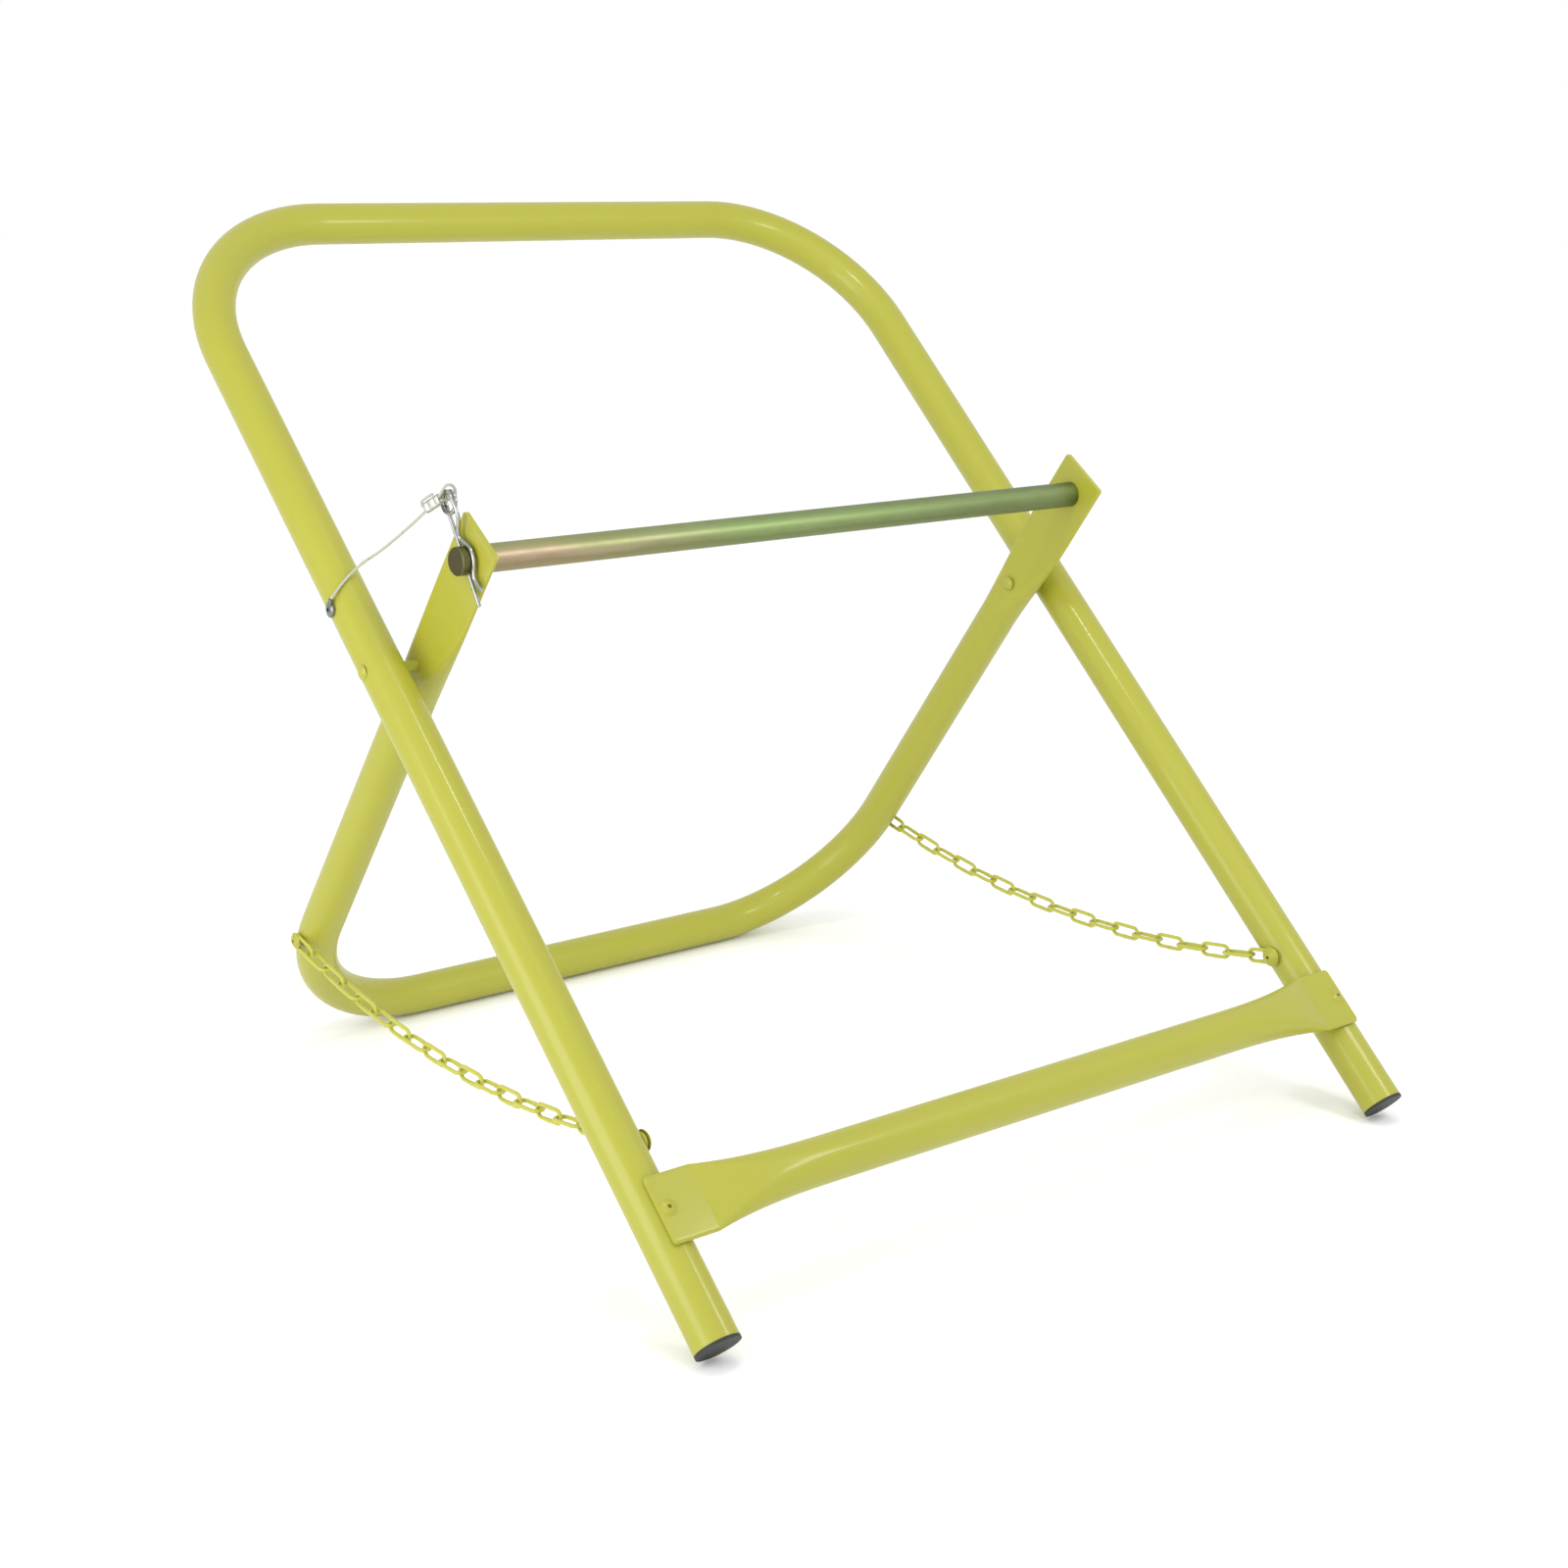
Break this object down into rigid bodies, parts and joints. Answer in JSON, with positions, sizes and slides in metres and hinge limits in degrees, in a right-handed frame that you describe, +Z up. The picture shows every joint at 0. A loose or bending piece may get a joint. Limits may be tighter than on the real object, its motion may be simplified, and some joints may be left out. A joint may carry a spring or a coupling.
{
  "type": "cable caddy",
  "caption": "Free-standing folding caddy of bent steel tube that holds cable reels on a pinned axle between two pressed plates",
  "frame": {"origin": "middle of the floor print, on the floor", "axes": "X across the caddy, Y from the plugged feet to the back, Z up"},
  "size_m": [0.5478, 0.5864, 0.5258],
  "materials": {
    "frame_paint": "satin yellow-green powder coat",
    "axle_zinc": "yellow zinc plate with a faint rose and green cast",
    "bright_zinc": "bright zinc wire",
    "ferrule_metal": "plain crimped metal",
    "cable_coat": "clear plastic coat over thin wire rope",
    "plug_black": "matt black moulded plastic"
  },
  "bodies": {
    "main": {"main_frame": "frame_paint", "crossbar": "frame_paint", "crossbar_rivets": "frame_paint", "pivot_rivet_left": "frame_paint", "pivot_rivet_right": "frame_paint", "foot_plug_left": "plug_black", "foot_plug_right": "plug_black", "chain_rivet_front_left": "frame_paint", "chain_rivet_front_right": "frame_paint", "lanyard_cable": "cable_coat", "lanyard_eyelet": "ferrule_metal", "lanyard_rivet": "ferrule_metal"},
    "reel": {"reel_frame": "frame_paint", "chain_rivet_rear_left": "frame_paint", "chain_rivet_rear_right": "frame_paint"},
    "axle_body": {"axle": "axle_zinc"},
    "clip_body": {"hitch_clip": "bright_zinc", "lanyard_end_loop": "cable_coat", "lanyard_ferrule": "ferrule_metal"},
    "chain_left_1_links": {"chain_left_1": "frame_paint"},
    "chain_left_2_links": {"chain_left_2": "frame_paint"},
    "chain_left_3_links": {"chain_left_3": "frame_paint"},
    "chain_left_4_links": {"chain_left_4": "frame_paint"},
    "chain_right_1_links": {"chain_right_1": "frame_paint"},
    "chain_right_2_links": {"chain_right_2": "frame_paint"},
    "chain_right_3_links": {"chain_right_3": "frame_paint"},
    "chain_right_4_links": {"chain_right_4": "frame_paint"}
  },
  "joints": [
    {"name": "fold", "type": "hinge", "parent": "main", "child": "reel", "pos_m": [0, 0.02789, 0.28801], "axis": [-1, 0, 0], "range_deg": [0, 80.9], "deforming": ["chain_left_1", "chain_left_2", "chain_left_3", "chain_left_4", "chain_right_1", "chain_right_2", "chain_right_3", "chain_right_4", "lanyard_cable"]},
    {"name": "axle_turn", "type": "hinge", "parent": "reel", "child": "axle_body", "pos_m": [0, -0.017, 0.35387], "axis": [1, 0, 0], "range_deg": [-75, 10], "deforming": ["lanyard_cable"]},
    {"name": "clip_pull", "type": "slide", "parent": "axle_body", "child": "clip_body", "axis": [0, 0.5446, 0.8387], "range_m": [0, 0.036], "deforming": ["hitch_clip", "lanyard_cable"]},
    {"name": "chain_left_1_swing", "type": "hinge", "parent": "main", "child": "chain_left_1_links", "pos_m": [0, -0.19998, 0.08499], "axis": [-1, 0, 0], "range_deg": [0, 47.53]},
    {"name": "chain_left_2_swing", "type": "hinge", "parent": "chain_left_1_links", "child": "chain_left_2_links", "pos_m": [0, -0.10572, 0.06941], "axis": [-1, 0, 0], "range_deg": [-49.9, 0]},
    {"name": "chain_left_4_swing", "type": "hinge", "parent": "reel", "child": "chain_left_4_links", "pos_m": [0, 0.16431, 0.08789], "axis": [-1, 0, 0], "range_deg": [-175.84, 0]},
    {"name": "chain_left_3_swing", "type": "hinge", "parent": "chain_left_4_links", "child": "chain_left_3_links", "pos_m": [0, 0.07031, 0.07082], "axis": [-1, 0, 0], "range_deg": [-64.33, 0]},
    {"name": "chain_right_1_swing", "type": "hinge", "parent": "main", "child": "chain_right_1_links", "pos_m": [0, -0.19998, 0.08499], "axis": [-1, 0, 0], "range_deg": [0, 47.53]},
    {"name": "chain_right_2_swing", "type": "hinge", "parent": "chain_right_1_links", "child": "chain_right_2_links", "pos_m": [0, -0.10572, 0.06941], "axis": [-1, 0, 0], "range_deg": [-49.9, 0]},
    {"name": "chain_right_4_swing", "type": "hinge", "parent": "reel", "child": "chain_right_4_links", "pos_m": [0, 0.16431, 0.08789], "axis": [-1, 0, 0], "range_deg": [-175.84, 0]},
    {"name": "chain_right_3_swing", "type": "hinge", "parent": "chain_right_4_links", "child": "chain_right_3_links", "pos_m": [0, 0.07031, 0.07082], "axis": [-1, 0, 0], "range_deg": [-64.33, 0]}
  ],
  "couplings": [
    {"joint": "chain_left_1_swing", "follows": "fold", "ratio": 0.58128},
    {"joint": "chain_left_2_swing", "follows": "fold", "ratio": -0.61068},
    {"joint": "chain_left_4_swing", "follows": "fold", "ratio": -2.1674},
    {"joint": "chain_left_3_swing", "follows": "fold", "ratio": -0.78901},
    {"joint": "chain_right_1_swing", "follows": "fold", "ratio": 0.58128},
    {"joint": "chain_right_2_swing", "follows": "fold", "ratio": -0.61068},
    {"joint": "chain_right_4_swing", "follows": "fold", "ratio": -2.1674},
    {"joint": "chain_right_3_swing", "follows": "fold", "ratio": -0.78901}
  ]
}
